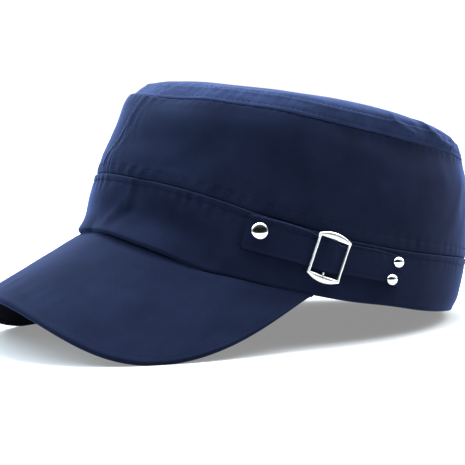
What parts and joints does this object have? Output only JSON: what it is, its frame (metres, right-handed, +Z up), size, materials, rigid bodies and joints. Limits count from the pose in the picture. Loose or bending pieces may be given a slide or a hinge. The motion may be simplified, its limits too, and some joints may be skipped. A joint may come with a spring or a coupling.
{
  "type": "cap",
  "caption": "Flat-top cadet cap in navy cotton twill with a curved peak, a sewn band and a side strap through a slide buckle held by domed rivets.",
  "frame": {"origin": "on the surface the cap rests on, under the middle of its bounding box", "axes": "+Z up, -Y the way the peak points, +X the wearer's left, where the strap is; the cap leans back by about 12.7 degrees as it rests on the peak's corners and the back of its hem"},
  "size_m": [0.1642, 0.2704, 0.128],
  "materials": {
    "twill": "matt cotton twill",
    "twill_top": "matt cotton twill",
    "twill_band": "matt cotton twill",
    "nickel": "polished"
  },
  "bodies": {
    "root": {"crown_top": "twill_top", "crown_side_left": "twill", "crown_side_right": "twill", "band": "twill_band", "brim": "twill", "strap": "twill_band", "buckle_frame": "nickel", "rivet_front": "nickel", "rivet_rear_upper": "nickel", "rivet_rear_lower": "nickel"}
  },
  "joints": []
}
